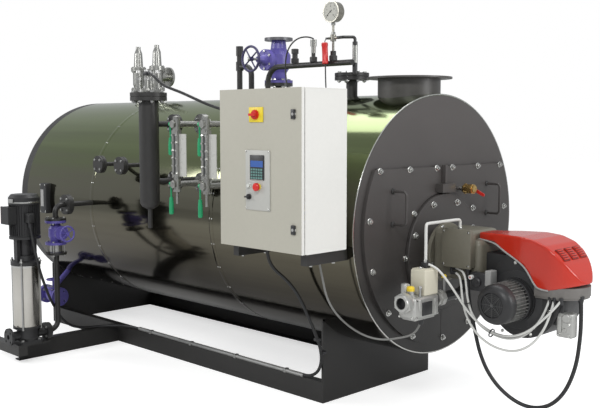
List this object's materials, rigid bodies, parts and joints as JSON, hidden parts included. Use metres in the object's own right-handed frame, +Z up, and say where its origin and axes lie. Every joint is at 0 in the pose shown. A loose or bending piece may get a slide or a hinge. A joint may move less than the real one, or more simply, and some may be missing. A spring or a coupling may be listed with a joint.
{
  "type": "horizontal fire-tube steam boiler on a skid",
  "caption": "Skid-mounted horizontal shell boiler with gas burner, control cabinet, feed pump, level gauges, safety valves and steam valve.",
  "frame": {"origin": "on the floor under the drum axis, at the mid-plane of the front saddle plate", "axes": "+X along the drum towards the burner, +Z up, and the control cabinet on the -Y side"},
  "size_m": [4.359, 2.097, 2.295],
  "materials": {
    "black_steel": "black enamel, satin",
    "polished_cladding": "polished stainless sheet",
    "valve_blue": "violet blue enamel on cast iron",
    "cabinet_grey": "light grey powder coat",
    "door_fitting_black": "moulded plastic",
    "switch_red": "red plastic",
    "hood_red": "red gloss enamel",
    "burner_grey": "grey enamel on cast aluminium",
    "burner_black": "black enamel",
    "cast_aluminium": "bare casting",
    "coil_beige": "beige moulded housing",
    "white_pipe": "white coated tube",
    "brass": "bare brass",
    "instrument_steel": "plated steel",
    "handle_green": "green grips",
    "stainless_sleeve": "polished sleeve",
    "pump_black": "black enamel on cast iron"
  },
  "bodies": {
    "root": {"air_intake_box": "burner_black", "air_pressure_switch": "burner_black", "blow_down_valve": "valve_blue", "burner_body": "burner_grey", "burner_control_box": "burner_grey", "burner_hood": "hood_red", "burner_motor": "burner_black", "burner_plate": "black_steel", "cabinet_body": "cabinet_grey", "cabinet_brackets": "black_steel", "cladding_front": "polished_cladding", "cladding_middle": "polished_cladding", "cladding_rear": "polished_cladding", "fan_housing": "burner_black", "feed_pipe": "black_steel", "feed_valve": "valve_blue", "flue_outlet": "black_steel", "front_plate": "black_steel", "gas_pipe": "burner_black", "gas_valve": "cast_aluminium", "gas_valve_coil": "coil_beige", "level_electrodes": "instrument_steel", "level_gauges": "instrument_steel", "level_standpipe": "black_steel", "pilot_pipe": "white_pipe", "pressure_gauge": "instrument_steel", "pressure_instruments": "instrument_steel", "pump_base": "pump_black", "pump_head": "pump_black", "pump_motor": "pump_black", "pump_skid": "black_steel", "pump_sleeve": "stainless_sleeve", "purge_valve": "brass", "rear_smokebox": "black_steel", "saddles": "black_steel", "safety_valves": "instrument_steel", "seam_strip": "black_steel", "side_beams": "black_steel", "smokebox_cover_left": "black_steel", "smokebox_cover_right": "black_steel", "spare_nozzles": "black_steel", "steam_valve": "valve_blue", "top_pipes": "black_steel"},
    "cabinet_door_body": {"cabinet_door": "cabinet_grey", "door_fittings": "door_fitting_black"},
    "main_switch": {"main_switch_knob": "switch_red"},
    "selector": {"selector_knob": "door_fitting_black"},
    "purge_lever": {"purge_valve_lever": "switch_red"},
    "steam_wheel": {"steam_valve_wheel": "valve_blue"},
    "feed_wheel": {"feed_valve_wheel": "valve_blue"},
    "blow_down_handwheel": {"blow_down_wheel": "valve_blue"},
    "handle_1_upper": {"gauge_1_upper_handle": "handle_green"},
    "handle_1_lower": {"gauge_1_lower_handle": "handle_green"},
    "handle_2_upper": {"gauge_2_upper_handle": "handle_green"},
    "handle_2_lower": {"gauge_2_lower_handle": "handle_green"}
  },
  "joints": [
    {"name": "cabinet_door_hinge", "type": "hinge", "parent": "root", "child": "cabinet_door_body", "pos_m": [-0.196, -1.046, 1.348], "axis": [0, 0, -1], "range_deg": [0, 110]},
    {"name": "main_switch_turn", "type": "hinge", "parent": "cabinet_door_body", "child": "main_switch", "pos_m": [0.092, -1.063, 1.62], "axis": [0, 1, 0], "range_deg": [0, 90]},
    {"name": "selector_turn", "type": "hinge", "parent": "cabinet_door_body", "child": "selector", "pos_m": [0.044, -1.067, 1.21], "axis": [0, 1, 0], "range_deg": [0, 60]},
    {"name": "purge_lever_turn", "type": "hinge", "parent": "root", "child": "purge_lever", "pos_m": [0.53, 0.177, 1.212], "axis": [0, -1, 0], "range_deg": [0, 90]},
    {"name": "steam_wheel_turn", "type": "hinge", "parent": "root", "child": "steam_wheel", "pos_m": [-0.866, -0.245, 1.984], "axis": [0, -1, 0], "continuous": true},
    {"name": "feed_wheel_turn", "type": "hinge", "parent": "root", "child": "feed_wheel", "pos_m": [-1.84, -1.008, 0.847], "axis": [1, 0, 0], "continuous": true},
    {"name": "blow_down_wheel_turn", "type": "hinge", "parent": "root", "child": "blow_down_handwheel", "pos_m": [-2.7, -0.64, 0.39], "axis": [0, 0, 1], "continuous": true},
    {"name": "gauge_1_upper_cock", "type": "hinge", "parent": "root", "child": "handle_1_upper", "pos_m": [-0.6553, -1.035, 1.573], "axis": [-1, 0, 0], "range_deg": [0, 90]},
    {"name": "gauge_1_lower_cock", "type": "hinge", "parent": "root", "child": "handle_1_lower", "pos_m": [-0.6553, -1.035, 1.24], "axis": [-1, 0, 0], "range_deg": [0, 90]},
    {"name": "gauge_2_upper_cock", "type": "hinge", "parent": "root", "child": "handle_2_upper", "pos_m": [-0.3953, -1.035, 1.573], "axis": [-1, 0, 0], "range_deg": [0, 90]},
    {"name": "gauge_2_lower_cock", "type": "hinge", "parent": "root", "child": "handle_2_lower", "pos_m": [-0.3953, -1.035, 1.24], "axis": [-1, 0, 0], "range_deg": [0, 90]}
  ]
}
